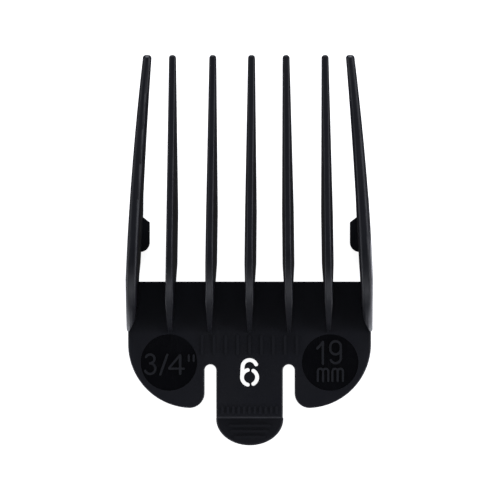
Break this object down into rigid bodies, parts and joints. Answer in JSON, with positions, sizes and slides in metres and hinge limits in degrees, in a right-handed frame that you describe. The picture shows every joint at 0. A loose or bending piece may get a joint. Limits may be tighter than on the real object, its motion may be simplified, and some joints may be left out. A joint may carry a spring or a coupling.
{
  "type": "clipper guard comb",
  "caption": "Black clip-on hair clipper guard comb: tall tapered teeth on a flat plate, blade lugs, and a springy latch tongue with a thumb tab.",
  "frame": {"origin": "on the comb's centre line, in the face of the plate that lies on the clipper blade, midway between the plate's front edge and the tops of the two slots", "axes": "+Z towards the skin, +Y towards the tooth tips, +X to the right seen from the skin side"},
  "size_m": [0.048, 0.0753, 0.0226],
  "materials": {
    "satin_nylon": "satin black nylon with a fine spark-eroded texture",
    "tooth_nylon": "smoother satin black nylon",
    "polished_nylon": "polished black nylon",
    "raised_rib": "raised satin ribs, a little rubbed",
    "raised_mark": "raised satin strokes of the size marks"
  },
  "bodies": {
    "comb": {"base_plate": "satin_nylon", "blade_lug_left": "tooth_nylon", "blade_lug_right": "tooth_nylon", "inch_size_disc": "polished_nylon", "inch_size_mark": "raised_mark", "inner_tooth_1": "tooth_nylon", "inner_tooth_2": "tooth_nylon", "inner_tooth_3": "tooth_nylon", "inner_tooth_4": "tooth_nylon", "inner_tooth_5": "tooth_nylon", "metric_size_disc": "polished_nylon", "metric_size_mark": "raised_mark", "plate_ribs": "raised_rib", "side_tooth_left": "tooth_nylon", "side_tooth_right": "tooth_nylon"},
    "latch": {"latch_catch": "satin_nylon", "latch_tongue": "satin_nylon", "release_tab": "satin_nylon", "tab_grip_ridges": "raised_rib", "tongue_ribs": "raised_rib"}
  },
  "joints": [
    {"name": "latch_flex", "type": "hinge", "parent": "comb", "child": "latch", "pos_m": [0, -0.00915, 0.0018], "axis": [-1, 0, 0], "range_deg": [0, 12], "stiffness_Nm_per_rad": 0.8}
  ]
}
